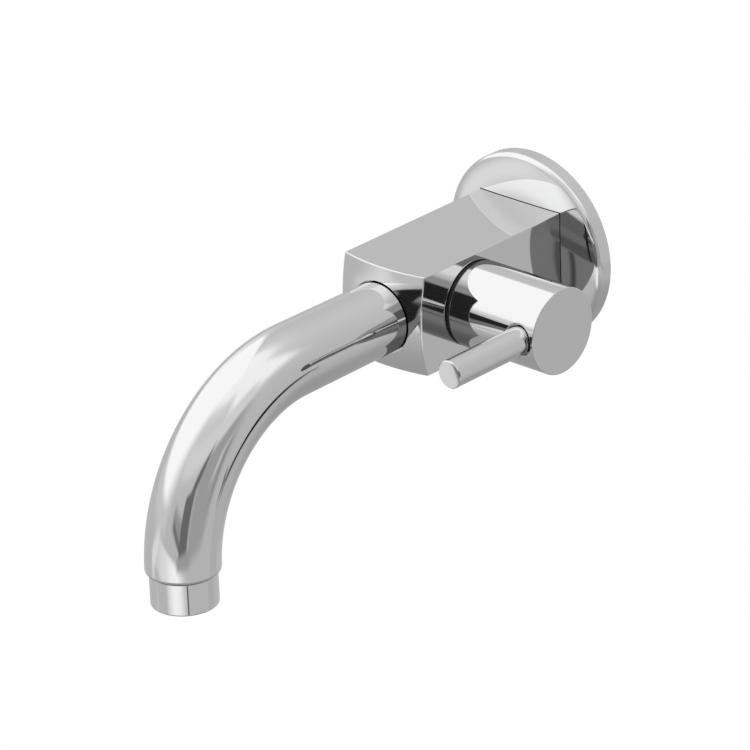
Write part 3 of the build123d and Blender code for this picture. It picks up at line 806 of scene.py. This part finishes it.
def ray_angles(tree):
    """Where a ray goes, as azimuth and elevation in degrees."""
    ray = tree.node("ShaderNodeTexCoord", output="Generated")
    first = tree.node("ShaderNodeSeparateXYZ", None, {0: ray})
    along_x, along_y, along_z = (Socket(tree, output) for output in first.output.node.outputs)
    turn = tree.node("ShaderNodeMath", {"operation": "ARCTAN2"}, {0: along_x, 1: along_y * -1})
    rise = tree.node("ShaderNodeMath", {"operation": "ARCSINE"}, {0: along_z})
    return turn * math.degrees(1), rise * math.degrees(1)


def soft_window(tree, distance, half_width, softness):
    """1 within half_width of zero and 0 outside it, with an edge twice as wide as softness."""
    size = tree.node("ShaderNodeMath", {"operation": "ABSOLUTE"}, {0: distance})
    sockets = {"Value": size, "From Min": half_width + softness, "From Max": half_width - softness}
    return tree.node("ShaderNodeMapRange", {"interpolation_type": "SMOOTHSTEP"}, sockets)


# %% Plain greys by elevation
# From straight down to straight up.
plain_greys = [(-90, 0.3), (-42, 0.38), (-36, 0.43), (-31, 0.49), (-28, 0.55), (12, 0.57), (24, 0.6)]
plain_greys += [(36, 0.62), (46, 0.66), (57, 0.71), (62, 0.77), (66, 0.85), (70, 1.0), (74, 1.06)]
plain_greys += [(90, 1.08)]
brightest = max(level for _, level in plain_greys)
print("greys by elevation:", len(plain_greys), "up to", brightest)

# %% The boxes
# Columns: name, azimuth from and to, elevation from and to, softness sideways and upwards, lean, tilt, level.
# Lean is how far a box's sides move sideways for each degree upwards, and tilt is the reverse.
studio_boxes = [
    ("left soft box", -110, -13, 9, 95, 20, 5, 0.3, 0, 1.15),
    ("left soft box's far side", -126, -80, 25, 95, 2.5, 5, 0, 0, 1.15),
    ("right soft box", 70, 134, 36, 95, 10, 9, 0, 0, 1.06),
    ("pale strip above the wall", -5, 104, 28, 48, 8, 6, 0, 0, 0.75),
    ("shade under the left box", -85, -15, -2, 9, 6, 7, 0, 0, 0.68),
    ("grey wall", 51, 100, -18, 27, 10, 4, 0, 0, 0.39),
    ("light spot on the wall", 85, 93, 2, 13, 3, 3, 0.5, 0, 0.6),
    ("shadow beside the spot", 92, 99, -10, 8, 2, 3, 0, 0, 0.33),
    ("table on the left", -36, 42, -30, -12, 24, 2, 0, -0.22, 0.84),
    ("pale wall beyond it", -58, -34, -20, -8, 5, 5, 0, 0.58, 0.85),
    ("card for the lever's end", -43.6, -41.9, -25.5, -23.8, 0.3, 0.3, 0, 0, 0.79),
    ("table in front", 0, 36, -33, -17, 15, 3, 0, -0.28, 1.06),
    ("table's far edge", 25, 62, -20, -12, 5, 2.5, 0, 0, 0.38),
    ("gap's half shadow", 4, 34, -4, 9, 5, 4, 0, -0.38, 0.34),
    ("gap's shadow", 7, 34, -5.5, -0.5, 3, 1.6, 0, -0.6, 0.19),
    ("camera gap", 30, 51, -13, 17, 1.5, 2.5, 0, 0, 0.16),
    ("gap's upper tip", 43, 59, 15, 25, 2.5, 2.5, 0.6, 0.5, 0.17),
    ("thin leg", 53, 58, -33, -26.2, 0.8, 0.4, 0, 0, 0.11),
    ("dim floor behind", 129, 160, -32, -19, 3, 2, 0, 0, 0.5),
    ("dark edge rising", 115.5, 121, -17.9, -16.7, 0.8, 0.7, 0, -0.9, 0.08),
    ("dark edge behind", 120, 128, -20.9, -19.3, 1, 0.8, 0, 0, 0.1),
    ("dark corner behind", 126, 133, -23, -17, 1.5, 1.5, 0, 0, 0.0),
]
print("boxes in the studio:", len(studio_boxes))

# %% [markdown]
# ## Darker corners
#
# Between body and handle, and between body and flange, one mirror shows another. The photograph is darker
# there than on the open faces, as if nearer and darker things stood in the way. Dark cards close to the tap
# could do that, but each would show in other mirrors too. So a second table changes only the light of rays
# that have met the chrome at least twice.

# %% The boxes seen in corners
# A box from -400 to 400 degrees goes right round, with no side edges.
every_side = 400
corner_boxes = [
    ("dim floor", -every_side, every_side, -120, -18, 8, 2.5, 0, 0, 0.23),
    ("darker below", -every_side, every_side, -120, -44, 8, 9, 0, 0, 0.13),
    ("dim side behind", 115, 175, -19, 48, 5, 4, 0, 0, 0.19),
    ("dim shelf", 30, 115, 28, 44, 8, 3, 0, 0, 0.38),
    ("dark wall", 46, 82, -18, 26, 4, 4, 0, 0, 0.12),
    ("black gap", 19, 50, -19, 32, 3, 2, 0, 0, 0.02),
    ("gap's upper end", -4, 24, 10, 30, 3, 3, -0.7, 0, 0.02),
    ("left leg", 33.8, 36.2, -27, -19, 0.8, 1.5, 0, 0, 0.07),
    ("right leg", 43.3, 45.7, -27, -19, 0.8, 1.5, 0, 0, 0.09),
    ("softer top", -84, -26, 20, 48, 8, 2.5, 0, 0, 0.9),
    ("dim patch", -50, -42, 22, 33, 4, 4, 0, 0, 0.8),
    ("bright side", -62, -25, 6, 19.5, 8, 2, 0, 0, 1.25),
]
print("boxes seen in corners:", len(corner_boxes))

# %% All of the room's light
# Halfway between one mirror bounce and two.
twice_mirrored = 1.5


def with_boxes(light, boxes, azimuth, elevation, share=1):
    """Moves the light towards each box's level in turn, inside the box."""
    for _, left, right, low, high, soft_across, soft_up, lean, tilt, level in boxes:
        across = azimuth - (left + right) / 2
        up = elevation - (low + high) / 2
        leaning = soft_window(across.tree, across - up * lean, (right - left) / 2, soft_across)
        tilting = soft_window(across.tree, up - across * tilt, (high - low) / 2, soft_up)
        light = light + (level - light) * (leaning * tilting * share)
    return light


def room_light(tree):
    """The light that a mirror sees in each direction, starting from plain greys by elevation."""
    azimuth, elevation = ray_angles(tree)
    stops = [(degrees / 180 + 0.5, level / brightest) for degrees, level in plain_greys]
    light = ramp(tree, elevation / 180 + 0.5, *stops) * brightest
    bounces = tree.node("ShaderNodeLightPath", output="Glossy Depth")
    sockets = {0: bounces, 1: twice_mirrored}
    in_corner = tree.node("ShaderNodeMath", {"operation": "GREATER_THAN"}, sockets)
    light = with_boxes(light, studio_boxes, azimuth, elevation)
    return with_boxes(light, corner_boxes, azimuth, elevation, in_corner)


# %% [markdown]
# ## The world
#
# Three kinds of ray reach the world. The camera's own rays see plain white, as in the photograph. Mirror rays
# see the room. All others bring even light at a plain level, a little under white, so that a colour renders
# about as it is written.

# %% World
even_light = 0.9


def studio_world():
    """White to the camera, the room to mirrors, and even light to everything else."""
    world = bpy.data.worlds.new("studio")
    bpy.context.scene.world = world
    tree = Tree(world)
    seen_by_camera = tree.node("ShaderNodeLightPath", output="Is Camera Ray")
    seen_by_mirror = tree.node("ShaderNodeLightPath", output="Is Glossy Ray")
    light = even_light + (room_light(tree) - even_light) * seen_by_mirror
    light = light.largest(seen_by_camera)
    background = tree.node("ShaderNodeBackground", None, {"Color": light, "Strength": 1.0})
    tree.node("ShaderNodeOutputWorld", None, {"Surface": background})


studio_world()

# %% [markdown]
# ## The camera
#
# The photograph was taken from the tap's front right, from above, with a long lens. The camera could be
# placed by eye, but mirror images shift with the slightest turn of it. So its direction, roll and distance
# were worked out from the block's edges. The picture's frame is square, 750 pixels a side.

# %% Camera
camera_azimuth = math.radians(43.582)
camera_elevation = math.radians(24.609)
camera_roll = math.radians(-2.418)
camera_distance = 2.1323
pixels_per_metre = 2825.13
aim_offset_pixels = (11.901, 61.446)
aim_point = Vector((0, -0.08017, 0))
frame_pixels = 750
sensor_width = 36.0
view_end = 50.0


def make_camera():
    out = Vector(
        (
            math.sin(camera_azimuth) * math.cos(camera_elevation),
            -math.cos(camera_azimuth) * math.cos(camera_elevation),
            math.sin(camera_elevation),
        )
    )
    level = Vector((math.cos(camera_azimuth), math.sin(camera_azimuth), 0))
    upright = out.cross(level)
    right = math.cos(camera_roll) * level + math.sin(camera_roll) * upright
    up = math.cos(camera_roll) * upright - math.sin(camera_roll) * level
    across, along = (pixels / pixels_per_metre for pixels in aim_offset_pixels)
    data = bpy.data.cameras.new("camera")
    data.sensor_width = sensor_width
    data.lens = pixels_per_metre * camera_distance / frame_pixels * sensor_width
    data.clip_end = view_end
    camera = bpy.data.objects.new("camera", data)
    camera.matrix_world = Matrix((right, up, out)).transposed().to_4x4()
    camera.location = aim_point - across * right - along * up + camera_distance * out
    bpy.context.scene.collection.objects.link(camera)
    bpy.context.scene.camera = camera
    return camera


camera = make_camera()
bpy.context.scene.view_settings.view_transform = "Standard"
print("camera lens", round(camera.data.lens, 1), "mm")
